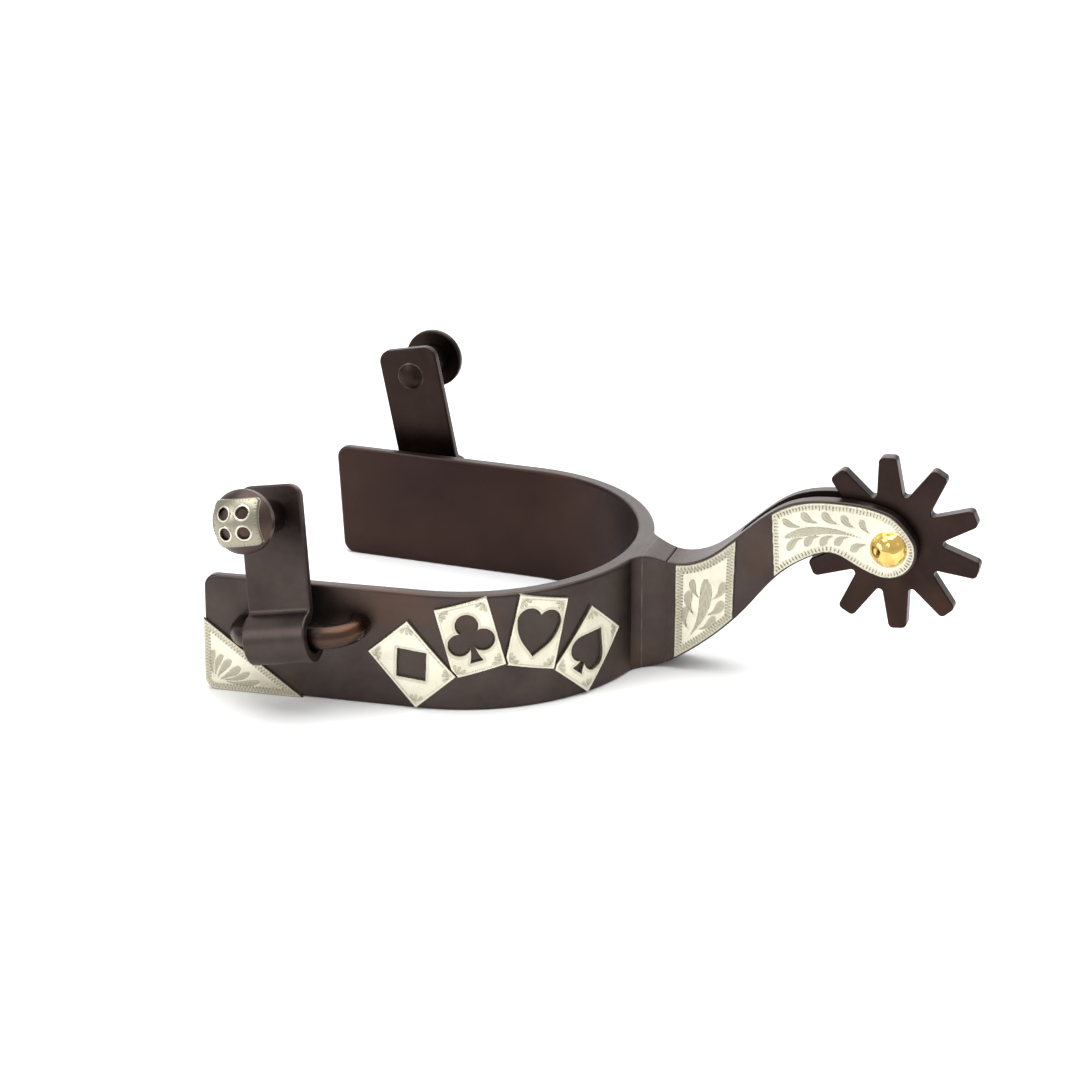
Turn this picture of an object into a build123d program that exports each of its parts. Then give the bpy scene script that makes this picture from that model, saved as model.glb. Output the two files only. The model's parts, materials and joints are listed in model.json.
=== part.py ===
from build123d import *
from math import asin, atan2, cos, degrees, hypot, radians, sin, sqrt
import os

os.makedirs("parts", exist_ok=True)

# A western spur that stands on the lower edge of its heel band. +X runs from the boot's heel out
# along the shank to the rowel, -Y is the outboard side (the silver side), and +Z is up.
# The origin is the middle of the band's lower edge at the heel. Lengths in mm, angles in degrees.

# Cutting tools run on by OVERCUT past a surface they cut, or by FAR where they must clear the part.
OVERCUT = 2.0
FAR = 60.0

# Heel band: a flat bar bent to a U, with an elliptical heel and straight arms that splay a little.
BAND_HEIGHT = 25.4
HEEL_THICKNESS = 3.7
INNER_HALF_LENGTH = 34.87
INNER_HALF_WIDTH = 38.17
OUTER_HALF_WIDTH = 41.47
OUTER_HALF_LENGTH = INNER_HALF_LENGTH + HEEL_THICKNESS
HEEL_CENTRE_X = HEEL_THICKNESS / 2 - OUTER_HALF_LENGTH
ARM_STOCK_X = -84.0
ARM_INNER_END = 41.38
ARM_OUTER_END = 43.8
ARM_TIPS = {-1: (-81.6, -81.6), 1: (-83.2, -81.6)}
ARM_CORNER_RADIUS = 2.7
ARM_TRIM_LENGTH = 14.0
EDGE_RADIUS = 0.7

# Shank: one piece with a root that flares into the heel, slotted at its end for the rowel.
SHANK_WIDTH = 9.4
ROOT_FLARE_RADIUS = 7.0
SHANK_EDGE_RADIUS = 0.4
ROOT_DEPTH = 2.0
ROOT_INSIDE_X = -1.5
ROOT_BITE = 0.15
WELD_X = 2.6
SLOT_WIDTH = 4.0
SLOT_REACH = 32.4
LOBE_CENTRE = (54.6, 31.8)
LOBE_RADIUS = 6.3
LOBE_TOP_ANGLE = 20
LOBE_BOTTOM_ANGLE = -105
TOP_END_PULLS = (1, 0.5)
SHANK_TOP = [(HEEL_THICKNESS / 2, BAND_HEIGHT), (8.2, 24.0), (14.5, 25.1), (20.5, 29.3), (26.5, 34.8),
             (33.6, 39.6), (44.0, 41.3), (51.9, 40.6), (57.0, 38.4)]
SHANK_BOTTOM = [(47.8, 27.8), (42.8, 29.8), (38.0, 28.3), (31.5, 23.6), (25.0, 15.8), (18.0, 8.6),
                (10.8, 3.1), (HEEL_THICKNESS / 2, 0)]

# Rowel and its pin.
PIN_X, PIN_Z = 55.05, 32.2
PIN_RADIUS = 2.0
PIN_CLEARANCE = 0.08
PIN_PEEN_RADIUS = 3.0
PIN_PEEN_HEIGHT = 0.9
PIN_HEAD_RADIUS = 3.95
PIN_HEAD_HEIGHT = 2.7
ROWEL_SPOKES = 10
ROWEL_TIP_RADIUS = 18.7
ROWEL_THICKNESS = 3.2
ROWEL_HUB_RADIUS = 4.0
ROWEL_FIRST_SPOKE = 95.0
SPOKE_TIP_WIDTH = 3.7
SPOKE_BASE_WIDTH = 7.8
SPOKE_TIP_ROUND = 1.1
SPOKE_NOTCH_ROUND = 0.8
ROWEL_EDGE_ROUND = 0.35

# Silver: thin sheets on the outboard side. Places on the band are (distance round its outer face
# from the heel, height), and a tilt is clockwise as seen from outboard, with the heel to the right.
SILVER = 0.7
SHANK_SILVER = 0.6
CARD_WIDTH = 11.4
CARD_HEIGHT = 15.6
CARD_GAP = 0.1
CARDS = {
    "card_diamond": (62.8, 9.9, -41.0),
    "card_club": (50.6, 16.3, -15.0),
    "card_heart": (36.5, 16.4, 12.7),
    "card_spade": (23.7, 9.95, 39.4),
}
SILVER_PRISM = 10.0
ARM_LENGTH = 107.9
CORNER_PLATE_LENGTH = 21.4
CORNER_PLATE_HEIGHT = 15.9
NECK_PLATE_ENDS = [(9.4, 0), (9.6, 30), (22.6, 32), (21.9, 8)]
CHEEK_PLATE_ENDS = [(29.7, 45), (31.0, 20), (64, 20), (64, 45)]

# Staples: round rod bent to a U and welded to the outer face of each arm.
ROD_RADIUS = 2.4
STAPLE_X = {-1: -59.8, 1: -61.3}
STAPLE_Z = 16.2
STAPLE_STANDOFF = 7.7
STAPLE_BURIED = 1.5
STAPLE_SPAN = 25.0
STAPLE_BEND = 6.0
STAPLE_DROOP = {-1: 6.0, 1: 6.0}

# Hangers: a strip whose foot curls loosely round the staple.
# Each is (place along the staple, droop, yaw, inward lean) as it stands.
STRIP = 2.05
STRIP_WIDTH = 13.9
STRIP_LENGTH = 31.7
STRIP_CORNER = 2.8
STRIP_EDGE_ROUND = 0.4
EYE_RADIUS = 3.3 + STRIP / 2
CREASE_RADIUS = 2.2
EYE_END_ANGLE = 160
HANGER_STANCE = {-1: (-1.7, 10.3, -1.9, 14.0), 1: (-1.6, 11.6, -2.9, 0.0)}

# Strap buttons: a post riveted through the hanger with a button on its outer end.
POST_HEIGHT = 25.3
POST_RADIUS = 3.5
RIVET_RADIUS = 2.2
RIVET_HEAD_RADIUS = 3.1
RIVET_HEAD_HEIGHT = 1.0
BUTTON_REACH = 14.5
BUTTON_RADIUS = 6.65
BUTTON_RIM = 1.8
BUTTON_EDGE_ROUND = 0.5
DOME_HEIGHT = 4.2
DIE_SIDE = 9.8
DIE_CORNER = 1.2
PIP_OFFSET = 2.05
PIP_RADIUS = 1.2

OUTBOARD, INBOARD = -1, 1
SIDE_NAMES = {OUTBOARD: "outboard", INBOARD: "inboard"}


def tangent_angle(half_length, half_width, end_half_width):
    """Angle on a heel ellipse where a straight arm leaves it to reach its own end half-width."""
    reach = (HEEL_CENTRE_X - ARM_STOCK_X) / half_length
    spread = end_half_width / half_width
    return degrees(atan2(reach, spread) + asin(1 / hypot(reach, spread)))


def heel_curve(half_length, half_width, end_half_width):
    angle = tangent_angle(half_length, half_width, end_half_width)
    return EllipticalCenterArc((HEEL_CENTRE_X, 0), half_length, half_width, -angle, arc_size=2 * angle)


def filled_u(half_length, half_width, end_half_width):
    """The plan area inside a U outline, closed straight across the ends of its arms."""
    arc = heel_curve(half_length, half_width, end_half_width)
    tip, other_tip = (ARM_STOCK_X, end_half_width), (ARM_STOCK_X, -end_half_width)
    return make_face([arc, Line(arc @ 1, tip), Line(tip, other_tip), Line(other_tip, arc @ 0)])


def outer_u(extra=0.0):
    return filled_u(OUTER_HALF_LENGTH + extra, OUTER_HALF_WIDTH + extra, ARM_OUTER_END + extra)


def slab(face, bottom, top):
    return extrude(Pos(0, 0, bottom) * face, top - bottom)


def sideways(face, start, end):
    """Extrude an XZ face (drawn in XY) so that it spans from Y = start to Y = end."""
    upright = Plane((0, end, 0), x_dir=(1, 0, 0), z_dir=(0, -1, 0))
    return extrude(upright * face, end - start)


def sharp_edges(part, least_turn=25):
    """Edges where two faces meet at more than least_turn degrees."""
    found = ShapeList()
    faces = part.faces()
    for edge in part.edges():
        middle = edge @ 0.5
        sides = [f.normal_at(middle) for f in faces if any(edge.is_same(e) for e in f.edges())]
        if len(sides) == 2 and sides[0].get_angle(sides[1]) > least_turn:
            found.append(edge)
    return found


def arm_trim(side):
    """Waste beyond one arm's end, with the end's two corners left round."""
    top_x, bottom_x = ARM_TIPS[side]
    kept = make_face(Polyline((top_x, BAND_HEIGHT), (bottom_x, 0), (0, 0), (0, BAND_HEIGHT), close=True))
    corners = kept.vertices().sort_by(Axis.X)[:2]
    kept = fillet(corners, ARM_CORNER_RADIUS)
    stock_x = ARM_STOCK_X - OVERCUT + ARM_TRIM_LENGTH / 2
    stock = Pos(stock_x, BAND_HEIGHT / 2) * Rectangle(ARM_TRIM_LENGTH, BAND_HEIGHT + OVERCUT)
    return sideways(stock - kept, *sorted((0, side * FAR)))


def lobe_point(angle):
    x, z = LOBE_CENTRE
    return (x + LOBE_RADIUS * cos(radians(angle)), z + LOBE_RADIUS * sin(radians(angle)))


def shank_side():
    """Side outline of the shank, from inside the heel out to the round lobe at the pin."""
    top_end, bottom_start = lobe_point(LOBE_TOP_ANGLE), lobe_point(LOBE_BOTTOM_ANGLE)
    top_out = (sin(radians(LOBE_TOP_ANGLE)), -cos(radians(LOBE_TOP_ANGLE)))
    bottom_in = (sin(radians(LOBE_BOTTOM_ANGLE)), -cos(radians(LOBE_BOTTOM_ANGLE)))
    top = Spline(*SHANK_TOP, top_end, tangents=[(1, 0), top_out], tangent_scalars=TOP_END_PULLS)
    bottom = Spline(bottom_start, *SHANK_BOTTOM, tangents=[bottom_in, (-1, 0)])
    lobe = CenterArc(LOBE_CENTRE, LOBE_RADIUS, LOBE_BOTTOM_ANGLE, LOBE_TOP_ANGLE - LOBE_BOTTOM_ANGLE)
    root = Polyline(SHANK_BOTTOM[-1], (ROOT_INSIDE_X, 0), (ROOT_INSIDE_X, BAND_HEIGHT), SHANK_TOP[0])
    return make_face([top, lobe, bottom, root])


def flare_contact():
    """Angle on the outer heel ellipse where the shank's flare arc runs into it."""
    goal = SHANK_WIDTH / 2 + ROOT_FLARE_RADIUS
    low, high = 0.0, 45.0
    while high - low > 1e-9:
        angle = (low + high) / 2
        if heel_normal_point(angle, ROOT_FLARE_RADIUS - ROOT_BITE)[1] < goal:
            low = angle
        else:
            high = angle
    return low


def heel_normal_point(angle, distance):
    """The point that stands off the outer heel ellipse by distance, along its normal."""
    x, y = OUTER_HALF_LENGTH * cos(radians(angle)), OUTER_HALF_WIDTH * sin(radians(angle))
    slope_x, slope_y = x / OUTER_HALF_LENGTH ** 2, y / OUTER_HALF_WIDTH ** 2
    scale = distance / hypot(slope_x, slope_y)
    return (HEEL_CENTRE_X + x + slope_x * scale, y + slope_y * scale)


def root_plan():
    """Plan of the shank's root: concave flares from the heel ellipse in to the shank's width."""
    angle = flare_contact()
    contact_x, contact_y = heel_normal_point(angle, -ROOT_BITE)
    flare_x, flare_y = heel_normal_point(angle, ROOT_FLARE_RADIUS - ROOT_BITE)
    lean = degrees(atan2(flare_y - contact_y, flare_x - contact_x))
    right = CenterArc((flare_x, flare_y), ROOT_FLARE_RADIUS, 180 + lean, 90 - lean)
    left = CenterArc((flare_x, -flare_y), ROOT_FLARE_RADIUS, 90, 90 - lean)
    inside_x = contact_x - ROOT_DEPTH
    inside = Polyline(left @ 1, (inside_x, -contact_y), (inside_x, contact_y), right @ 0)
    return make_face([right, Line(right @ 1, left @ 0), left, inside])


def eased(part, kept_x):
    """Round the long edges of a shank piece, leaving the ends where it joins its neighbours."""
    low_x, high_x = kept_x
    edges = [e for e in sharp_edges(part) if low_x < (e @ 0.5).X < high_x and abs((e % 0.5).Z) < 0.99]
    return fillet(edges, SHANK_EDGE_RADIUS)


def make_band():
    inner = filled_u(INNER_HALF_LENGTH, INNER_HALF_WIDTH, ARM_INNER_END)
    band = slab(outer_u() - inner, 0, BAND_HEIGHT) - arm_trim(OUTBOARD) - arm_trim(INBOARD)
    return fillet(sharp_edges(band), EDGE_RADIUS)


def space_beyond(x):
    return Pos(x + FAR, 0, 0) * Box(2 * FAR, 2 * FAR, 2 * FAR)


def make_steel():
    """The forged band and shank, still in one, with the rowel slot and the pin's hole."""
    side, root = shank_side(), root_plan()
    root_end = root.bounding_box().max.X
    half = SHANK_WIDTH / 2
    flare_start = heel_normal_point(flare_contact(), -ROOT_BITE)[0]
    flare = sideways(side, -FAR, FAR) & slab(root, -FAR, FAR)
    beam = sideways(side, -half, half) & space_beyond(root_end)
    steel = make_band() + eased(flare, (flare_start, root_end)) + eased(beam, (root_end, FAR))
    slot = sideways(Pos(PIN_X, PIN_Z) * Circle(SLOT_REACH), -SLOT_WIDTH / 2, SLOT_WIDTH / 2)
    bore = sideways(Pos(PIN_X, PIN_Z) * Circle(PIN_RADIUS), -FAR, FAR)
    return steel - slot - bore


def split_steel():
    """Part the steel where the shank's root is joined to the small boss on the heel band."""
    steel = make_steel()
    return steel - space_beyond(WELD_X), steel & space_beyond(WELD_X)


def outer_place(distance):
    """Point and outward normal on the band's outboard face, at a distance round it from the heel."""
    arc = heel_curve(OUTER_HALF_LENGTH, OUTER_HALF_WIDTH, ARM_OUTER_END)
    half_arc = arc.length / 2
    if distance <= half_arc:
        share = 0.5 * (1 - distance / half_arc)
        point, along = arc @ share, arc % share
    else:
        along = arc % 0
        point = arc @ 0 - along * (distance - half_arc)
    return point, Vector(along.Y, -along.X, 0)


def silver_shell():
    """A skin of the silver's thickness all round the band's outer face."""
    return slab(outer_u(SILVER) - outer_u(), 0, BAND_HEIGHT)


def band_silver(outline, middle):
    """Cut an outline from the outer skin. It is drawn as seen: X is minus the distance from the heel."""
    distance, height = middle
    point, normal = outer_place(distance)
    toward_heel = Vector(-normal.Y, normal.X, 0)
    start = Vector(point.X, point.Y, height) - normal * SILVER_PRISM / 2
    place = Plane(start, x_dir=toward_heel, z_dir=normal)
    return silver_shell() & extrude(place * Pos(distance, -height) * outline, SILVER_PRISM)


def card_outline(name):
    distance, height, tilt = CARDS[name]
    return Pos(-distance, height) * Rot(0, 0, -tilt) * Rectangle(CARD_WIDTH, CARD_HEIGHT)


def diamond():
    return make_face(Polyline((-4.2, 0), (0, -4.45), (4.2, 0), (0, 4.45), close=True))


def stem(top, foot_half):
    """The waisted foot under a club or a spade."""
    foot, waist, neck = (foot_half, -5.3), (0.75, -3.9), (0.5, top)
    sides = [ThreePointArc(*[(s * x, z) for x, z in (foot, waist, neck)]) for s in (-1, 1)]
    return make_face([sides[0], Line(sides[0] @ 1, sides[1] @ 1), sides[1], Line(sides[1] @ 0, sides[0] @ 0)])


def club():
    lobes = Pos(0, 2.9) * Circle(2.35) + Pos(2.55, -0.95) * Circle(2.35) + Pos(-2.55, -0.95) * Circle(2.35)
    return lobes + Circle(1.2) + stem(0, 1.3)


def heart(half_width, shoulder, notch, tip):
    """A heart with its point down; a negative height turns it over."""
    sides = []
    for s in (-1, 1):
        crown = ThreePointArc((0, notch), (s * half_width * 0.55, shoulder), (s * half_width, shoulder * 0.4))
        flank_middle = (s * half_width * 0.62, tip * 0.42)
        to_tip = (-s * half_width * 0.75, tip * 0.8)
        flank = Spline(crown @ 1, flank_middle, (0, tip), tangents=[crown % 1, to_tip])
        sides += [crown, flank]
    return make_face(sides)


SUITS = {
    "card_diamond": diamond,
    "card_club": club,
    "card_heart": lambda: heart(4.9, 5.0, 3.7, -5.2),
    "card_spade": lambda: heart(4.7, -3.6, -2.4, 5.1) + stem(-2.0, 1.4),
}


def make_cards():
    """Four playing cards fanned along the band; each gives way to the one before it."""
    cards, taken = {}, None
    for name, (distance, height, tilt) in CARDS.items():
        outline = card_outline(name)
        if taken is not None:
            outline -= taken
        taken = offset(card_outline(name), CARD_GAP)
        outline -= Pos(-distance, height) * Rot(0, 0, -tilt) * SUITS[name]()
        cards[name] = band_silver(outline, (distance, height))
    return cards


def make_corner_plate():
    """A triangle of silver on the outboard arm's lower end corner, rounded with it."""
    lower_tip = (CORNER_PLATE_LENGTH - ARM_LENGTH, 0)
    upper_tip = (-ARM_LENGTH, CORNER_PLATE_HEIGHT)
    triangle = make_face(Polyline((-ARM_LENGTH, 0), lower_tip, upper_tip, close=True))
    plate = band_silver(triangle, (ARM_LENGTH - CORNER_PLATE_LENGTH / 2, CORNER_PLATE_HEIGHT / 2))
    return plate - arm_trim(OUTBOARD)


def shank_silver(shank, ends):
    """A panel that covers the flat of the shank's outboard face between the given ends."""
    flat = shank.faces().filter_by(Axis.Y).sort_by(Axis.Y)[0]
    face_y = -SHANK_WIDTH / 2
    sheet = extrude(Face(flat.outer_wire()), SHANK_SILVER, dir=(0, -1, 0))
    return sheet & sideways(make_face(Polyline(*ends, close=True)), face_y - SHANK_SILVER, face_y)


def make_rowel():
    spoke = make_face(Polyline(
        (0, -SPOKE_BASE_WIDTH / 2), (ROWEL_TIP_RADIUS, -SPOKE_TIP_WIDTH / 2),
        (ROWEL_TIP_RADIUS, SPOKE_TIP_WIDTH / 2), (0, SPOKE_BASE_WIDTH / 2), close=True))
    pitch = 360 / ROWEL_SPOKES
    star = Circle(ROWEL_HUB_RADIUS)
    for i in range(ROWEL_SPOKES):
        star += Rot(0, 0, ROWEL_FIRST_SPOKE + i * pitch) * spoke
    tips = [v for v in star.vertices() if hypot(v.X, v.Y) > 0.9 * ROWEL_TIP_RADIUS]
    star = fillet(tips, SPOKE_TIP_ROUND)
    notches = [v for v in star.vertices() if hypot(v.X, v.Y) < 0.6 * ROWEL_TIP_RADIUS]
    star = fillet(notches, SPOKE_NOTCH_ROUND)
    half = ROWEL_THICKNESS / 2
    rowel = sideways(Pos(PIN_X, PIN_Z) * star, -half, half)
    rowel = fillet(sharp_edges(rowel), ROWEL_EDGE_ROUND)
    return rowel - sideways(Pos(PIN_X, PIN_Z) * Circle(PIN_RADIUS + PIN_CLEARANCE), -half, half)


def cap(radius, height):
    """A dome standing on the XY plane."""
    ball = (radius ** 2 + height ** 2) / (2 * height)
    return Pos(0, 0, height - ball) * Sphere(ball) & slab(Circle(FAR), 0, height)


def make_pin():
    """The rowel's axle, peened over on the inboard cheek, and the brass dome on its other end."""
    half = SHANK_WIDTH / 2
    outer_face = half + SHANK_SILVER
    shaft = sideways(Pos(PIN_X, PIN_Z) * Circle(PIN_RADIUS), -outer_face, half)
    inboard = Plane((PIN_X, half, PIN_Z), x_dir=(1, 0, 0), z_dir=(0, 1, 0))
    outboard = Plane((PIN_X, -outer_face, PIN_Z), x_dir=(1, 0, 0), z_dir=(0, -1, 0))
    peen = inboard.location * cap(PIN_PEEN_RADIUS, PIN_PEEN_HEIGHT)
    return shaft + peen, outboard.location * cap(PIN_HEAD_RADIUS, PIN_HEAD_HEIGHT)


def tilted(droop, yaw):
    """Direction toward the heel, raised by droop and turned by yaw toward +Y."""
    level = cos(radians(droop))
    return Vector(level * cos(radians(yaw)), level * sin(radians(yaw)), sin(radians(droop)))


def staple_frame(side):
    """The staple's middle and its direction; the arm's splay turns it toward the shank."""
    slope = tangent_slope()
    face_y = ARM_OUTER_END - slope * (STAPLE_X[side] - ARM_STOCK_X)
    middle = Vector(STAPLE_X[side], side * (face_y + STAPLE_STANDOFF), STAPLE_Z)
    return middle, tilted(STAPLE_DROOP[side], -side * degrees(atan2(slope, 1)))


def tangent_slope():
    arc = heel_curve(OUTER_HALF_LENGTH, OUTER_HALF_WIDTH, ARM_OUTER_END)
    along = arc % 0
    return abs(along.Y / along.X)


def make_staple(side):
    middle, along = staple_frame(side)
    out = Vector(0, side, 0)
    out = (out - along * out.dot(along)).normalized()
    half, depth = STAPLE_SPAN / 2, STAPLE_STANDOFF + STAPLE_BURIED
    corners = [middle - along * half - out * depth, middle - along * half,
               middle + along * half, middle + along * half - out * depth]
    path = FilletPolyline(*corners, radius=STAPLE_BEND)
    section = Plane(path @ 0, z_dir=path % 0) * Circle(ROD_RADIUS)
    rod = sweep(section, path=path)
    return rod - slab(outer_u(), -FAR, FAR)


def strip_outline():
    """Edge view of a hanger: a straight strip whose foot creases forward and curls round an eye."""
    half = STRIP / 2
    reach = EYE_RADIUS + CREASE_RADIUS
    crease_z = sqrt(reach ** 2 - CREASE_RADIUS ** 2)
    crease = (CREASE_RADIUS, crease_z)
    start = degrees(atan2(crease_z, CREASE_RADIUS))
    curl = EYE_END_ANGLE - start - 360
    back = CenterArc(crease, CREASE_RADIUS + half, 180, start)
    front = CenterArc(crease, CREASE_RADIUS - half, 180, start)
    bore = CenterArc((0, 0), EYE_RADIUS - half, start, curl)
    skin = CenterArc((0, 0), EYE_RADIUS + half, start, curl)
    top = Polyline(back @ 0, (-half, STRIP_LENGTH), (half, STRIP_LENGTH), front @ 0)
    return make_face([back, bore, Line(bore @ 1, skin @ 1), skin, front, top])


def button_axis():
    """The post's own frame: on the strip's middle plane, pointing outboard."""
    return Plane((0, 0, POST_HEIGHT), x_dir=(1, 0, 0), z_dir=(0, 1, 0)).location


def make_hanger():
    """A hanger in its own frame: X along the eye, Z up the strip, +Y outboard."""
    upright = Plane((-STRIP_WIDTH / 2, 0, 0), x_dir=(0, 1, 0), z_dir=(1, 0, 0))
    strip = extrude(upright * strip_outline(), STRIP_WIDTH)
    corners = [e for e in strip.edges().filter_by(Axis.Y) if (e @ 0.5).Z > STRIP_LENGTH - 0.1]
    strip = fillet(corners, STRIP_CORNER)
    rims = [e for e in sharp_edges(strip) if (e @ 0.5).Z > 3]
    strip = fillet(rims, STRIP_EDGE_ROUND)
    return strip - button_axis() * Cylinder(RIVET_RADIUS, 3 * STRIP)


def make_post():
    """Post between strip and button, with its rivet through the strip and a head inside."""
    half = STRIP / 2
    seat = BUTTON_REACH - BUTTON_RIM
    post = slab(Circle(POST_RADIUS), half, seat)
    post += Cylinder(RIVET_RADIUS, STRIP)
    head = Pos(0, 0, -half) * Rot(180, 0, 0) * cap(RIVET_HEAD_RADIUS, RIVET_HEAD_HEIGHT)
    return button_axis() * (post + head)


def button_disc():
    seat = BUTTON_REACH - BUTTON_RIM
    return slab(Circle(BUTTON_RADIUS), seat, seat + BUTTON_RIM)


def make_flat_button():
    disc = button_disc()
    return button_axis() * fillet(disc.edges().filter_by(GeomType.CIRCLE), BUTTON_EDGE_ROUND)


def make_dome_button():
    dome = Pos(0, 0, BUTTON_REACH) * cap(BUTTON_RADIUS, DOME_HEIGHT)
    back = button_disc().edges().filter_by(GeomType.CIRCLE).sort_by(Axis.Z)[0]
    return button_axis() * (fillet(back, BUTTON_EDGE_ROUND) + dome)


def make_die_plate():
    """A square of silver dished over the button's dome, pierced by four round pips."""
    ball = (BUTTON_RADIUS ** 2 + DOME_HEIGHT ** 2) / (2 * DOME_HEIGHT)
    centre = Pos(0, 0, BUTTON_REACH + DOME_HEIGHT - ball)
    square = fillet(Rectangle(DIE_SIDE, DIE_SIDE).vertices(), DIE_CORNER)
    for x in (-PIP_OFFSET, PIP_OFFSET):
        for y in (-PIP_OFFSET, PIP_OFFSET):
            square -= Pos(x, y) * Circle(PIP_RADIUS)
    prism = extrude(Pos(0, 0, BUTTON_REACH) * square, 2 * DOME_HEIGHT)
    return button_axis() * ((centre * Sphere(ball + SILVER) - centre * Sphere(ball)) & prism)


def hanger_location(side):
    """Where a hanger's own frame stands: on the staple, drooped, yawed and leaned inward."""
    along_staple, droop, yaw, lean = HANGER_STANCE[side]
    middle, direction = staple_frame(side)
    along = tilted(droop, yaw)
    level_out = Vector(-along.Y, along.X, 0).normalized() * side
    up = along.cross(level_out) * side
    up = up * cos(radians(lean)) - level_out * sin(radians(lean))
    return Plane(middle + direction * along_staple, x_dir=along, z_dir=up)


def place_hanger(piece, side):
    """Set a piece drawn for the inboard side on either side's staple."""
    plane = hanger_location(side)
    own = piece if side == INBOARD else mirror(piece, Plane.XZ)
    return plane.location * own


def main():
    band, shank = split_steel()
    pin, pin_head = make_pin()
    nodes = {"heel_band": band, "shank": shank, "rowel_pin": pin, "pin_head": pin_head}
    nodes["rowel"] = make_rowel()
    nodes |= make_cards()
    nodes["corner_plate"] = make_corner_plate()
    nodes["neck_plate"] = shank_silver(shank, NECK_PLATE_ENDS)
    nodes["cheek_plate"] = shank_silver(shank, CHEEK_PLATE_ENDS) - pin
    hanger, post = make_hanger(), make_post()
    for side, name in SIDE_NAMES.items():
        nodes["staple_" + name] = make_staple(side)
        nodes["hanger_" + name] = place_hanger(hanger, side)
        nodes["button_post_" + name] = place_hanger(post, side)
    nodes["button_outboard"] = place_hanger(make_dome_button(), OUTBOARD)
    nodes["button_inboard"] = place_hanger(make_flat_button(), INBOARD)
    nodes["die_plate"] = place_hanger(make_die_plate(), OUTBOARD)
    for name, piece in nodes.items():
        export_step(piece, f"parts/{name}.step")


if __name__ == "__main__":
    main()
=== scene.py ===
"""Western spur: surfaces, engraved silver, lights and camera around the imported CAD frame, in metres."""
import json
import math

import bpy
import numpy as np
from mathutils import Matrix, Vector, kdtree
from mathutils.geometry import delaunay_2d_cdt


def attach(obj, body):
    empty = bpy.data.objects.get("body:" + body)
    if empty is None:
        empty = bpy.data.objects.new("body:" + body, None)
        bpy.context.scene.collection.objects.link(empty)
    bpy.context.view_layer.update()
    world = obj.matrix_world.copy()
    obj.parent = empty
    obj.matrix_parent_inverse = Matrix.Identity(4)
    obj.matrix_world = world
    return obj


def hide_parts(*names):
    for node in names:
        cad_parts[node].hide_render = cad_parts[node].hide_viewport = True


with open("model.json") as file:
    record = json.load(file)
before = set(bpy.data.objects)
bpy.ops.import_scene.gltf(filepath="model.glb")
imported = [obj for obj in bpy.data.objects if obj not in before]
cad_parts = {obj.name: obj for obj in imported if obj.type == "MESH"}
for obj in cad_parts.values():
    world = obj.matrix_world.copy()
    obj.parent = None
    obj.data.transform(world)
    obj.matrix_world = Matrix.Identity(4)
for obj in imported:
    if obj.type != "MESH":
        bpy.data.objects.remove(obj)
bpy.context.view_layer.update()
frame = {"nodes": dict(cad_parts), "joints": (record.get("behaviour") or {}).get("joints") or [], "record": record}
nodes = frame["nodes"]

MM = 0.001

RUBBED_STEEL = (0.26, 0.22, 0.20)
# Painted shade tones for the band's inward-facing faces, mottled between these two.
INWARD_PAINTED_SHADE = (0.030, 0.019, 0.018), (0.046, 0.027, 0.022)
BRASS_TONES = (0.72, 0.44, 0.11), (0.86, 0.62, 0.22)
SILVER_TONES = (0.60, 0.56, 0.44), (0.78, 0.75, 0.62)
CUT_GROUND = (0.42, 0.39, 0.29)
TARNISH = (0.13, 0.115, 0.08)
HAMMER_MARKS = 420.0


# Materials -----------------------------------------------------------------------------------

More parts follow.
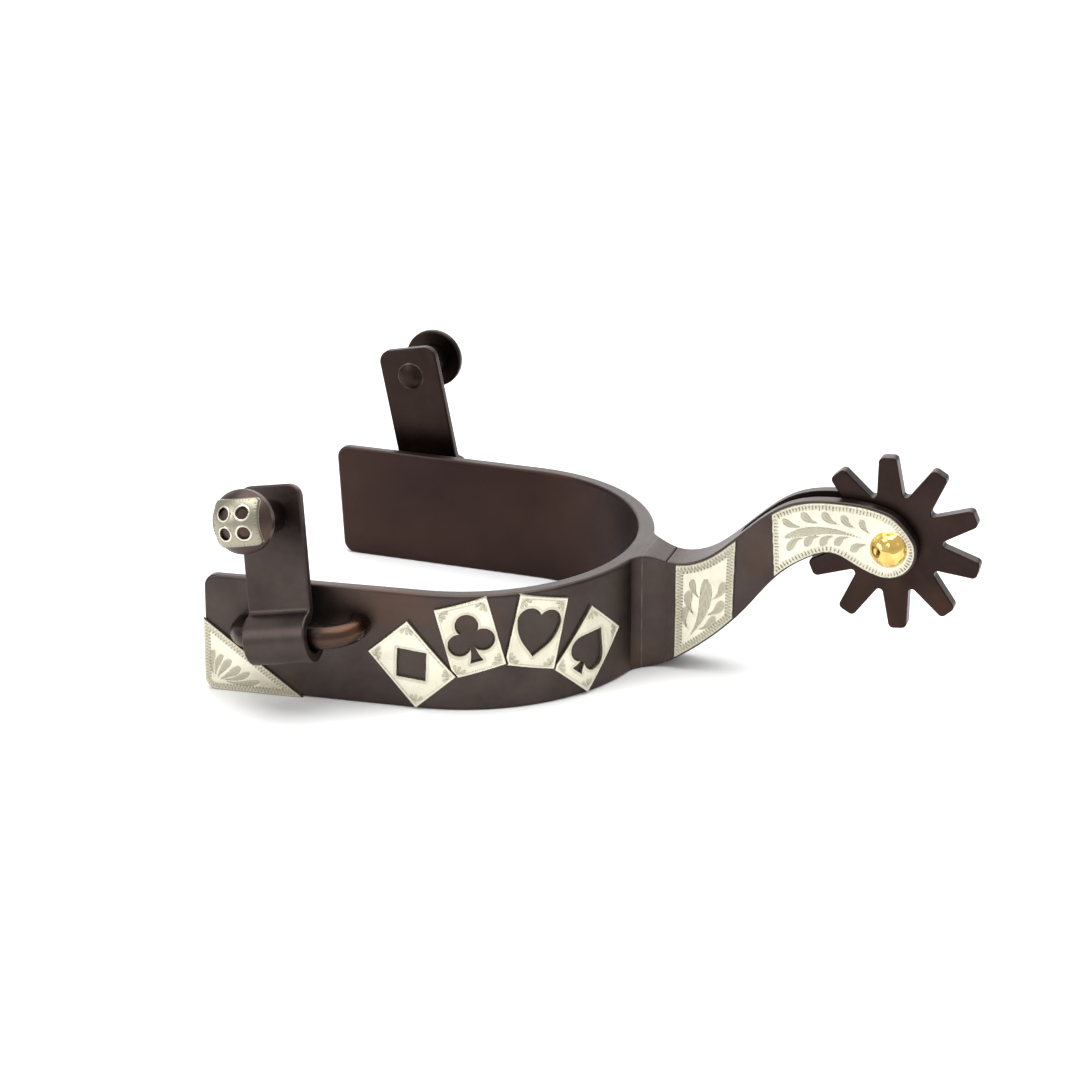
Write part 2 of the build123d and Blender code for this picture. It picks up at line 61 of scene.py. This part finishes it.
class Shader:
    """A material whose nodes are added one call at a time, all in object coordinates."""

    def __init__(self, name, metallic):
        self.material = bpy.data.materials.new(name)
        self.material.use_nodes = True
        self.tree = self.material.node_tree
        self.surface = self.tree.nodes["Principled BSDF"]
        self.surface.inputs["Metallic"].default_value = metallic
        self.place = self.tree.nodes.new("ShaderNodeTexCoord").outputs["Object"]

    def node(self, kind, inputs=None, **settings):
        made = self.tree.nodes.new(kind)
        for key, value in settings.items():
            setattr(made, key, value)
        for key, value in (inputs or {}).items():
            if isinstance(value, bpy.types.NodeSocket):
                self.tree.links.new(value, made.inputs[key])
            else:
                made.inputs[key].default_value = value
        return made

    def noise(self, scale, detail=4.0, stretch=(1, 1, 1), rough=0.55):
        mapped = self.node("ShaderNodeMapping", {"Vector": self.place, "Scale": stretch})
        inputs = {"Vector": mapped.outputs[0], "Scale": scale, "Detail": detail, "Roughness": rough}
        return self.node("ShaderNodeTexNoise", inputs).outputs["Fac"]

    def spread(self, factor, low, high, start=0.3, end=0.7):
        inputs = {"Value": factor, "From Min": start, "From Max": end, "To Min": low, "To Max": high}
        return self.node("ShaderNodeMapRange", inputs).outputs["Result"]

    def math(self, operation, first, second):
        return self.node("ShaderNodeMath", {0: first, 1: second}, operation=operation).outputs[0]

    def vector(self, operation, *values):
        return self.node("ShaderNodeVectorMath", dict(enumerate(values)), operation=operation)

    def mix(self, factor, first, second):
        made = self.node("ShaderNodeMix", {"Factor": factor}, data_type="RGBA")
        for socket, value in ((6, first), (7, second)):
            if isinstance(value, bpy.types.NodeSocket):
                self.tree.links.new(value, made.inputs[socket])
            else:
                made.inputs[socket].default_value = (*value, 1)
        return made.outputs[2]

    def edges(self, radius):
        """How sharply the surface turns within that radius, 0 on a flat face."""
        rounded = self.node("ShaderNodeBevel", {"Radius": radius}, samples=6).outputs["Normal"]
        plain = self.node("ShaderNodeNewGeometry").outputs["Normal"]
        alike = self.vector("DOT_PRODUCT", rounded, plain).outputs["Value"]
        return self.math("SUBTRACT", 1.0, alike)

    def bump(self, height, distance, strength, below=None):
        inputs = {"Height": height, "Distance": distance, "Strength": strength}
        if below is not None:
            inputs["Normal"] = below
        return self.node("ShaderNodeBump", inputs).outputs["Normal"]

    def set(self, **sockets):
        for key, value in sockets.items():
            socket = self.surface.inputs[key.replace("_", " ")]
            if isinstance(value, bpy.types.NodeSocket):
                self.tree.links.new(value, socket)
            else:
                socket.default_value = value
        return self.material


def browned_steel(name, dark, mid, warm, gloss, heel_centre=None):
    """Steel under a thin brown oxide: mottled, satin, rubbed lighter along its edges.
    Round a heel centre, the faces that look inward get a darker, browner base colour: painted shade standing in
    for the shade inside the U, where the arms hide each other from the light."""
    s = Shader(name, 1.0)
    patches = s.noise(90, 5)
    cloud = s.noise(34, 3, rough=0.6)
    grain = s.noise(1600, 3, rough=0.7)
    brushed = s.noise(260, 3, (1, 1, 9))
    base = s.mix(s.spread(patches, 0, 1), dark, mid)
    base = s.mix(s.spread(cloud, 0, 0.8, 0.52, 0.72), base, warm)
    # Painted shade: faces that turn toward the heel centre are darkened to the inward shade tones.
    if heel_centre is not None:
        level = s.vector("SUBTRACT", s.place, heel_centre).outputs[0]
        flat = s.vector("MULTIPLY", level, (1, 1, 0)).outputs[0]
        away = s.vector("NORMALIZE", flat).outputs[0]
        normal = s.node("ShaderNodeNewGeometry").outputs["Normal"]
        facing = s.vector("DOT_PRODUCT", normal, away).outputs["Value"]
        inward = s.spread(facing, 1, 0, -0.6, -0.1)
        base = s.mix(inward, base, s.mix(s.spread(cloud, 0, 1), *INWARD_PAINTED_SHADE))
    rubbed = s.spread(s.edges(0.0005), 0, 0.5, 0.02, 0.35)
    rubbed = s.math("MULTIPLY", rubbed, s.spread(s.noise(400, 4), 0.2, 1.0, 0.35, 0.65))
    colour = s.mix(rubbed, base, RUBBED_STEEL)
    rough = s.math("ADD", s.spread(patches, gloss - 0.05, gloss + 0.07), s.spread(grain, -0.04, 0.05))
    fine = s.bump(s.math("ADD", grain, brushed), 0.00002, 0.6)
    return s.set(Base_Color=colour, Roughness=rough, Normal=s.bump(cloud, 0.0003, 0.25, fine))


def hammered_brass():
    s = Shader("gold_brass", 1.0)
    facets = s.node("ShaderNodeTexVoronoi", {"Vector": s.place, "Scale": HAMMER_MARKS}, feature="SMOOTH_F1")
    tone = s.mix(s.spread(s.noise(500, 3), 0, 1), *BRASS_TONES)
    rough = s.spread(s.noise(700, 3), 0.10, 0.2)
    return s.set(Base_Color=tone, Roughness=rough, Normal=s.bump(facets.outputs["Distance"], 0.0014, 0.6))


def silver(name, cut):
    """Pale warm silver; cut ground is greyer and duller, and cuts hold a little tarnish."""
    s = Shader(name, 1.0)
    cloud = s.noise(110, 4)
    tone = s.mix(s.spread(cloud, 0, 1), *SILVER_TONES)
    rough = s.spread(s.noise(600, 4), 0.24, 0.36)
    if cut:
        matt = s.node("ShaderNodeAttribute", attribute_name="matt").outputs["Fac"]
        worn_in = s.node("ShaderNodeAttribute", attribute_name="worn_in").outputs["Fac"]
        tone = s.mix(matt, tone, CUT_GROUND)
        tone = s.mix(s.spread(worn_in, 0, 0.85, 0.25, 1.1), tone, TARNISH)
        rough = s.math("ADD", rough, s.math("MULTIPLY", matt, 0.16))
    fine = s.bump(s.noise(2500, 3), 0.00002, 0.5)
    return s.set(Base_Color=tone, Roughness=rough, Normal=s.bump(s.noise(300, 2), 0.0003, 0.2, fine))


def dress(names, material):
    for name in names:
        data = nodes[name].data
        data.materials.clear()
        data.materials.append(material)


HEEL_CENTRE = (-0.0367, 0.0, 0.0)
STEEL_TONES = (0.048, 0.036, 0.033), (0.080, 0.064, 0.058), (0.098, 0.058, 0.043)
# These dark tones serve both the rowel's own darker steel and the painted shade on the inboard hanger and button.
DARK_STEEL_AND_SHADE_TONES = (0.022, 0.014, 0.012), (0.040, 0.026, 0.022), (0.060, 0.031, 0.021)
ROD_TONES = (0.040, 0.027, 0.023), (0.070, 0.048, 0.040), (0.120, 0.052, 0.028)
steel = browned_steel("browned_steel", *STEEL_TONES, 0.38)
# The band's material paints shade onto its inward faces, round the heel centre.
band_steel = browned_steel("browned_steel_band_painted_shade", *STEEL_TONES, 0.38, HEEL_CENTRE)
shaded_steel = browned_steel("browned_steel_painted_shade", *DARK_STEEL_AND_SHADE_TONES, 0.36)
rod_steel = browned_steel("browned_steel_rod", *ROD_TONES, 0.28)
rowel_steel = browned_steel("rowel_steel", *DARK_STEEL_AND_SHADE_TONES, 0.34)
brass = hammered_brass()
engraved = silver("engraved_silver", True)
bright = silver("plain_silver", False)
SILVER_NODES = [n for n in nodes if n.startswith("card_") or n.endswith("_plate")]
dress([n for n in nodes if n not in SILVER_NODES], steel)
dress(["heel_band"], band_steel)
dress(["rowel", "rowel_pin"], rowel_steel)
# Painted shade: the inboard hanger and button are a darker, shaded copy of the browned steel; the button posts
# take the same darker steel.
dress(["hanger_inboard", "button_inboard", "button_post_inboard", "button_post_outboard"], shaded_steel)
dress(["staple_outboard", "staple_inboard"], rod_steel)
dress(["pin_head"], brass)
dress(SILVER_NODES, bright)


# Silver sheets, unrolled flat, engraved and rolled back on ----------------------------------
# In this section lengths are in mm. Flat places are (across, up) as seen from outboard.

CELL = 0.13  # spacing of the mesh that the cuts are pressed into
RIM_ROUND = 0.22  # radius that a sheet's front edge is worn to
BAND_SILVER = 0.7  # thicknesses of the sheets
SHANK_SILVER = 0.6
FRONT_SHARE = 0.8  # of a sheet's thickness, above which a face is on its front
FULL_TARNISH_DEPTH = 0.12
CREASE_ANGLE = 50


class HeelFace:
    """The band's outboard face: across is minus the distance round it from the heel."""

    CENTRE_X = -36.72
    HALF_LENGTH = 38.57
    HALF_WIDTH = 41.47
    ARM_END = (-84.0, -43.8)

    def __init__(self):
        reach = (self.CENTRE_X - self.ARM_END[0]) / self.HALF_LENGTH
        spread = -self.ARM_END[1] / self.HALF_WIDTH
        leaves = math.atan2(reach, spread) + math.asin(1 / math.hypot(reach, spread))
        angle = np.linspace(0, leaves, 3000)
        arc_x = self.CENTRE_X + self.HALF_LENGTH * np.cos(angle)
        arc = np.stack([arc_x, -self.HALF_WIDTH * np.sin(angle)], 1)
        share = np.linspace(0, 1, 2000)[1:, None]
        self.line = np.concatenate([arc, arc[-1] + (np.array(self.ARM_END) - arc[-1]) * share])
        steps = np.diff(self.line, axis=0)
        self.length = np.concatenate([[0], np.cumsum(np.hypot(*steps.T))])
        along = np.gradient(self.line, axis=0)
        self.along = along / np.hypot(*along.T)[:, None]
        self.out = np.stack([-self.along[:, 1], self.along[:, 0]], 1)

    def unroll(self, points):
        near = np.array([np.argmin(np.hypot(*(self.line - p[:2]).T)) for p in points])
        off = points[:, :2] - self.line[near]
        distance = self.length[near] + (off * self.along[near]).sum(1)
        return np.stack([-distance, points[:, 2], (off * self.out[near]).sum(1)], 1)

    def roll(self, across, up, stand_off):
        def at(column):
            return np.interp(-across, self.length, column)
        x = at(self.line[:, 0]) + at(self.out[:, 0]) * stand_off
        y = at(self.line[:, 1]) + at(self.out[:, 1]) * stand_off
        return np.stack([x, y, up], 1)


class ShankFace:
    """The flat outboard side of the shank: across is X."""

    FACE_Y = -4.7

    def unroll(self, points):
        return np.stack([points[:, 0], points[:, 2], self.FACE_Y - points[:, 1]], 1)

    def roll(self, across, up, stand_off):
        return np.stack([across, self.FACE_Y - stand_off, up], 1)


class DomeFace:
    """The outboard button's dome, seen along the stud that it caps."""

    RADIUS, HEIGHT = 6.65, 4.2
    RIM_FROM_STRAP = 8.5

    def __init__(self):
        stud = next(m for m in frame["record"]["mounts"] if m["name"] == "strap_stud_outboard")
        hinge = next(j for j in frame["joints"] if j["name"] == "hanger_outboard_swing")
        self.out = np.array(stud["axis"])
        self.up = np.cross(self.out, hinge["axis"])
        self.right = np.cross(self.up, self.out)
        rim = np.array(stud["pos_m"]) / MM + self.out * self.RIM_FROM_STRAP
        self.ball = (self.RADIUS ** 2 + self.HEIGHT ** 2) / (2 * self.HEIGHT)
        self.centre = rim + self.out * (self.HEIGHT - self.ball)

    def unroll(self, points):
        off = points - self.centre
        return np.stack([off @ self.right, off @ self.up, np.linalg.norm(off, axis=1) - self.ball], 1)

    def roll(self, across, up, stand_off):
        out = np.sqrt((self.ball + stand_off) ** 2 - across ** 2 - up ** 2)
        return self.centre + np.outer(across, self.right) + np.outer(up, self.up) + np.outer(out, self.out)


def front_outlines(node, face, thickness):
    """The closed outlines of a CAD sheet's front face, laid flat, with the outer one first."""
    mesh = nodes[node].data
    places = np.array([v.co for v in mesh.vertices]) / MM
    flat = face.unroll(places)
    weld = np.unique(np.round(places, 3), axis=0, return_inverse=True)[1].ravel()
    where = {key: flat[i, :2] for i, key in enumerate(weld)}
    directed = set()
    for polygon in mesh.polygons:
        corners = list(polygon.vertices)
        if flat[corners, 2].min() > FRONT_SHARE * thickness:
            keys = weld[corners]
            directed |= {(int(a), int(b)) for a, b in zip(keys, np.roll(keys, -1)) if a != b}
    following = {a: b for a, b in directed if (b, a) not in directed}
    outlines = []
    while following:
        start, at = following.popitem()
        loop = [start]
        while at != start:
            loop.append(at)
            at = following.pop(at)
        outlines.append(divided(np.array([where[key] for key in loop])))
    return sorted(outlines, key=lambda loop: -np.ptp(loop, axis=0).prod())


def divided(loop):
    """The loop with points no further apart than a cell, and none that all but coincide."""
    loop = loop[np.hypot(*(loop - np.roll(loop, 1, 0)).T) > CELL / 10]
    made = []
    for start, end in zip(loop, np.roll(loop, -1, 0)):
        count = max(1, math.ceil(np.hypot(*(end - start)) / CELL))
        made += [start + (end - start) * k / count for k in range(count)]
    return np.array(made)


def inside(points, outlines):
    """Which points lie in the area between the outlines."""
    crossed = np.zeros(len(points), bool)
    x, y = points.T
    for loop in outlines:
        for (x0, y0), (x1, y1) in zip(loop, np.roll(loop, -1, 0)):
            if y0 != y1:
                level = (y0 > y) != (y1 > y)
                crossed ^= level & (x < x0 + (y - y0) * (x1 - x0) / (y1 - y0))
    return crossed


def edge_places(points, outlines):
    """Distance from each point to the nearest outline, and the length round it to there."""
    tree = kdtree.KDTree(sum(map(len, outlines)))
    rounds = []
    for loop in outlines:
        steps = np.hypot(*np.diff(loop, axis=0, append=loop[:1]).T)
        rounds.append(np.concatenate([[0], np.cumsum(steps)[:-1]]))
    loops, rounds = np.concatenate(outlines), np.concatenate(rounds)
    for i, (x, y) in enumerate(loops):
        tree.insert((x, y, 0), i)
    tree.balance()
    found = [tree.find((x, y, 0))[1:] for x, y in points]
    near = np.array([i for i, _ in found])
    step = np.roll(loops, -1, 0)[near] - loops[near]
    step /= np.maximum(np.hypot(*step.T), 1e-6)[:, None]
    aside = np.clip(((points - loops[near]) * step).sum(1), -CELL, CELL)
    return np.array([gap for _, gap in found]), rounds[near] + aside


def triangles(points, outlines, tiny=1e-7):
    """Delaunay triangles that fill the area between the outlines, whose points come first.
    Gives the places, which given point each of them is, and the triangles."""
    rails, start = [], 0
    for loop in outlines:
        rails += [(start + k, start + (k + 1) % len(loop)) for k in range(len(loop))]
        start += len(loop)
    made = delaunay_2d_cdt([Vector(p) for p in points], rails, [], 0, tiny)
    places, faces = np.array([tuple(v) for v in made[0]]), np.array(made[2])
    given = [min(same) for same in made[3]]
    at = {source: k for k, same in enumerate(made[3]) for source in same}
    region = regions(faces, {frozenset((at[a], at[b])) for a, b in rails})
    a, b, c = places[faces].transpose(1, 0, 2)
    area = np.abs((b - a)[:, 0] * (c - a)[:, 1] - (b - a)[:, 1] * (c - a)[:, 0])
    vote = area * np.where(inside(places[faces].mean(1), outlines), 1, -1)
    kept = np.bincount(region, weights=vote) > CELL ** 2
    return places, given, faces[kept[region]]


def regions(faces, fences):
    """A number for each triangle, the same for all that can be reached without crossing a fence."""
    beside = {}
    for k, (a, b, c) in enumerate(faces.tolist()):
        for edge in (frozenset((a, b)), frozenset((b, c)), frozenset((c, a))):
            if edge not in fences:
                beside.setdefault(edge, []).append(k)
    neighbours = [[] for _ in faces]
    for pair in beside.values():
        if len(pair) == 2:
            neighbours[pair[0]].append(pair[1])
            neighbours[pair[1]].append(pair[0])
    region = np.full(len(faces), -1)
    count = 0
    for k in range(len(faces)):
        if region[k] < 0:
            region[k] = count
            waiting = [k]
            while waiting:
                for other in neighbours[waiting.pop()]:
                    if region[other] < 0:
                        region[other] = count
                        waiting.append(other)
            count += 1
    return region


def once_only(faces):
    """The directed edges that only one of the triangles has."""
    directed = {(int(f[k]), int(f[(k + 1) % 3])) for f in faces for k in range(3)}
    return [(a, b) for a, b in directed if (b, a) not in directed]


def engrave(node, face, thickness, relief, body="heel_band"):
    """Stand an engraved copy of a CAD sheet in for it. relief gives how deep and how matt."""
    outlines = front_outlines(node, face, thickness)
    border = np.concatenate(outlines)
    low, high = border.min(0), border.max(0)
    grid = np.stack(np.meshgrid(*(np.arange(a, b, CELL) for a, b in zip(low, high))), -1).reshape(-1, 2)
    grid = grid[inside(grid, outlines)]
    grid = grid[edge_places(grid, outlines)[0] > 0.6 * CELL]
    flat, given, front = triangles(np.concatenate([border, grid]), outlines)
    depth, matt = relief(flat, outlines)
    gap = np.minimum(edge_places(flat, outlines)[0], RIM_ROUND)
    depth = np.maximum(depth, RIM_ROUND - np.sqrt(np.maximum(RIM_ROUND ** 2 - (RIM_ROUND - gap) ** 2, 0)))
    sides = once_only(front)
    rim = sorted({a for a, _ in sides})
    foot = {a: len(flat) + k for k, a in enumerate(rim)}
    across, up = np.concatenate([flat, flat[rim]]).T
    stand_off = np.concatenate([thickness - depth, np.zeros(len(rim))])
    faces = front.tolist()
    for a, b in sides:
        faces += [(b, a, foot[a]), (b, foot[a], foot[b])]
    under = {given[a]: foot[a] for a in rim}
    _, given_back, back = triangles(border, outlines)
    faces += [[under[given_back[k]] for k in reversed(f)] for f in back.tolist()]
    mesh = bpy.data.meshes.new(node + "_engraved")
    mesh.from_pydata(face.roll(across, up, stand_off) * MM, [], faces)
    for name, values in (("matt", matt), ("worn_in", depth / FULL_TARNISH_DEPTH)):
        layer = mesh.attributes.new(name, "FLOAT", "POINT")
        layer.data.foreach_set("value", np.concatenate([values, np.zeros(len(rim))]).astype(np.float32))
    mesh.shade_smooth()
    mesh.set_sharp_from_angle(angle=math.radians(CREASE_ANGLE))
    piece = bpy.data.objects.new(node + "_engraved", mesh)
    bpy.context.scene.collection.objects.link(piece)
    mesh.materials.append(engraved)
    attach(piece, body)
    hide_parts(node)


# Cuts. Each gives a depth and a matt value for every point. ---------------------------------

def line_cut(distance, half_width, depth):
    return depth * np.clip(1 - np.abs(distance) / half_width, 0, 1)


def deepest(*cuts):
    return tuple(np.maximum.reduce([cut[k] for cut in cuts]) for k in (0, 1))


def leaf(points, base, tip, width, bow=0.0):
    """One leaf, bowed to the left of its way from base to tip by bow times its length."""
    base, tip = np.array(base), np.array(tip)
    way = tip - base
    bend = (base + tip) / 2 + 2 * bow * np.array([-way[1], way[0]])
    t = np.linspace(0, 1, 30)
    spine = np.outer((1 - t) ** 2, base) + np.outer(2 * t * (1 - t), bend) + np.outer(t ** 2, tip)
    off = np.hypot(points[:, None, 0] - spine[:, 0], points[:, None, 1] - spine[:, 1])
    near = off.argmin(1)
    off = off[np.arange(len(points)), near]
    half = width / 2 * np.sin(np.pi * t ** 2.2) ** 0.7
    room = half[near] - off
    filled = np.clip(room / 0.12, 0, 1)
    hatch = 0.5 + 0.5 * np.cos(2 * np.pi * (t[near] * np.hypot(*way) + 0.6 * off) / 0.42)
    scoop = filled * (0.02 + 0.04 * hatch)
    outline = line_cut(room, 0.13, 0.13) * (half[near] > 0.05)
    stem = line_cut(off, 0.13, 0.12) * (t[near] < 0.8)
    return np.maximum.reduce([scoop, outline, stem]), 0.8 * filled


def wriggle(gap, length, start=0.4, width=1.15, pitch=0.72):
    """A zigzag line along an edge, with a punched dot at each inner turn."""
    phase = length / pitch % 1
    zigzag = start + width * np.abs(2 * phase - 1)
    steep = math.hypot(1, 2 * width / pitch)
    dots = np.hypot((phase - np.round(phase)) * pitch, gap - start - width)
    depth = np.maximum(line_cut((gap - zigzag) / steep, 0.13, 0.12), line_cut(dots, 0.24, 0.18))
    band = np.clip((start + width + 0.15 - gap) / 0.1, 0, 1)
    return depth, 0.45 * band


def tooth_marks(gap, length, start=0.45, reach=1.0, pitch=0.74):
    """Short wedge cuts square to an edge."""
    phase = np.abs(length / pitch % 1 - 0.5) * pitch
    share = np.clip((gap - start) / reach, 0, 1)
    wedge = line_cut(phase, 0.24 * (1 - share) + 0.02, 0.17) * ((gap > start) & (gap < start + reach))
    return wedge, 0.3 * np.clip((start + reach - gap) / 0.1, 0, 1)


def edge_line(gap, at, half_width=0.1, depth=0.07):
    return line_cut(gap - at, half_width, depth), np.zeros_like(gap)


NECK_LEAVES = [  # base, tip, width, bow
    ((12.3, 7.4), (16.1, 21.6), 2.5, -0.10),
    ((12.5, 9.6), (12.3, 14.6), 1.35, 0.18),
    ((13.8, 13.0), (12.9, 18.4), 1.6, 0.18),
    ((14.9, 16.9), (13.4, 21.0), 1.3, 0.16),
    ((14.4, 9.8), (18.1, 13.3), 1.5, -0.16),
    ((16.2, 13.2), (19.8, 17.0), 1.7, -0.16),
    ((17.3, 16.8), (20.0, 21.2), 1.5, -0.16),
]
CHEEK_LEAVES = [
    ((50.9, 33.6), (32.7, 32.4), 1.7, -0.11),
    ((37.3, 32.9), (33.9, 29.6), 1.5, -0.18),
    ((40.6, 33.6), (37.6, 31.0), 1.6, -0.20),
    ((43.6, 34.0), (41.0, 31.4), 1.6, -0.20),
    ((46.8, 34.1), (43.9, 31.8), 1.5, -0.18),
    ((50.6, 32.8), (47.2, 31.0), 1.5, -0.14),
    ((36.8, 35.3), (32.4, 36.6), 1.2, 0.12),
    ((40.2, 36.6), (36.5, 38.6), 1.5, 0.16),
    ((44.4, 36.8), (41.0, 39.1), 1.5, 0.16),
    ((47.9, 36.3), (45.2, 38.9), 1.4, 0.16),
    ((51.0, 35.4), (49.2, 38.3), 1.3, 0.14),
]
CORNER_LEAVES = [  # from the plate's lower outer corner
    ((2.1, 2.8), (2.3, 9.0), 1.1, 0.10),
    ((2.4, 2.7), (4.1, 8.0), 1.2, 0.10),
    ((2.7, 2.4), (5.9, 7.0), 1.5, 0.05),
    ((3.1, 2.3), (7.9, 5.6), 1.5, -0.05),
    ((3.5, 2.5), (9.9, 4.5), 1.2, -0.10),
    ((3.7, 2.3), (12.2, 2.7), 1.1, -0.08),
]
CARDS = {  # distance round the band from the heel, height, clockwise tilt
    "card_diamond": (62.8, 9.9, -41.0),
    "card_club": (50.6, 16.3, -15.0),
    "card_heart": (36.5, 16.4, 12.7),
    "card_spade": (23.7, 9.95, 39.4),
}
CARD_HALF = (5.7, 7.8)
CARD_FLOURISH = [((0.9, 0.9), (1.1, 3.0)), ((0.9, 0.9), (2.1, 2.3)), ((0.9, 0.9), (3.0, 1.1))]


def leaves(points, table, corner=(0, 0)):
    shifted = points - np.array(corner)
    return deepest(*[leaf(shifted, *entry) for entry in table])


def neck_relief(points, outlines):
    return deepest(wriggle(*edge_places(points, outlines)), leaves(points, NECK_LEAVES))


def cheek_relief(points, outlines):
    gap, length = edge_places(points, outlines[:1])
    seat = edge_places(points, outlines[1:])[0]
    lines = edge_line(gap, 0.3), edge_line(seat, 2.4)
    return deepest(tooth_marks(gap, length), *lines, leaves(points, CHEEK_LEAVES))


def corner_relief(points, outlines):
    corner = outlines[0].min(0)
    border = wriggle(*edge_places(points, outlines), width=0.95)
    return deepest(border, leaves(points, CORNER_LEAVES, corner))


def card_relief(name):
    distance, height, tilt = CARDS[name]
    turn = math.radians(tilt)

    def relief(points, outlines):
        gap, _ = edge_places(points, outlines[:1])
        pip_gap, length = edge_places(points, outlines[1:])
        dotted = edge_line(pip_gap, 0.55, 0.13, 0.1)[0] * (0.55 + 0.45 * np.cos(2 * np.pi * length / 0.45))
        shade = 0.35 * np.clip((0.8 - pip_gap) / 0.1, 0, 1)
        off = points - np.array([-distance, height])
        across = off[:, 0] * math.cos(turn) - off[:, 1] * math.sin(turn)
        up = off[:, 0] * math.sin(turn) + off[:, 1] * math.cos(turn)
        from_corner = np.stack([CARD_HALF[0] - np.abs(across), CARD_HALF[1] - np.abs(up)], 1)
        strokes = [leaf(from_corner, base, tip, 0.55) for base, tip in CARD_FLOURISH]
        strokes = [(depth, 0.4 * matt) for depth, matt in strokes]
        return deepest(edge_line(gap, 0.6, 0.12, 0.1), (dotted, shade), *strokes)

    return relief


def die_relief(points, outlines):
    gap, length = edge_places(points, outlines[:1])
    pip_gap, _ = edge_places(points, outlines[1:])
    field = 0.1 * np.clip((pip_gap - 0.4) / 0.2, 0, 1)
    marks = tooth_marks(gap, length, 0.2, 0.5, 0.6)
    return deepest((field, 0.3 * (pip_gap > 0.5)), edge_line(pip_gap, 0.5, 0.15, 0.16), marks)


heel_face, shank_face, dome_face = HeelFace(), ShankFace(), DomeFace()
for card in CARDS:
    engrave(card, heel_face, BAND_SILVER, card_relief(card))
engrave("corner_plate", heel_face, BAND_SILVER, corner_relief)
engrave("neck_plate", shank_face, SHANK_SILVER, neck_relief)
engrave("cheek_plate", shank_face, SHANK_SILVER, cheek_relief)
engrave("die_plate", dome_face, BAND_SILVER, die_relief, "hanger_outboard")


# Studio --------------------------------------------------------------------------------------

def soft_light(name, place, aim, size, power):
    data = bpy.data.lights.new(name, "AREA")
    data.shape = "RECTANGLE"
    data.size, data.size_y = size
    data.energy = power
    lamp = bpy.data.objects.new(name, data)
    lamp.location = place
    lamp.rotation_euler = (Vector(aim) - Vector(place)).to_track_quat("-Z", "Y").to_euler()
    bpy.context.scene.collection.objects.link(lamp)


SKY_STRENGTH = 0.75


def studio():
    world = bpy.data.worlds.new("studio")
    bpy.context.scene.world = world
    world.use_nodes = True
    sky = world.node_tree.nodes["Background"]
    sky.inputs["Color"].default_value = (1, 1, 1, 1)
    sky.inputs["Strength"].default_value = SKY_STRENGTH
    bpy.ops.mesh.primitive_plane_add(size=6)
    floor = bpy.context.object
    floor.name = "floor"
    s = Shader("white_paper", 0.0)
    tone = s.mix(s.noise(40, 2), (0.93, 0.93, 0.93), (0.96, 0.96, 0.96))
    floor.data.materials.append(s.set(Base_Color=tone, Roughness=0.8))
    soft_light("overhead", (0.0, 0.1, 1.0), (0.0, 0, 0), (1.2, 1.2), 13)
    soft_light("front_left", (-0.9, -0.9, 0.7), (0, 0, 0.02), (0.7, 0.7), 5)
    soft_light("behind", (-0.5, 1.5, 0.55), (0, 0, 0.03), (1.8, 0.8), 7)


CAMERA_AZIMUTH = 17.285
CAMERA_ELEVATION = 20.413
CAMERA_PLACE = (0.21482, -0.76064, 0.32048)
CAMERA_LENS = 132.65


def camera():
    data = bpy.data.cameras.new("camera")
    data.lens = CAMERA_LENS
    data.sensor_width = 36
    data.clip_start = 0.01
    made = bpy.data.objects.new("camera", data)
    made.location = CAMERA_PLACE
    made.rotation_euler = (math.radians(90 - CAMERA_ELEVATION), 0, math.radians(CAMERA_AZIMUTH))
    bpy.context.scene.collection.objects.link(made)
    bpy.context.scene.camera = made


studio()
camera()
bpy.context.scene.view_settings.view_transform = "Standard"


def plain(bounds):
    return [list(map(float, corner)) for corner in bounds]
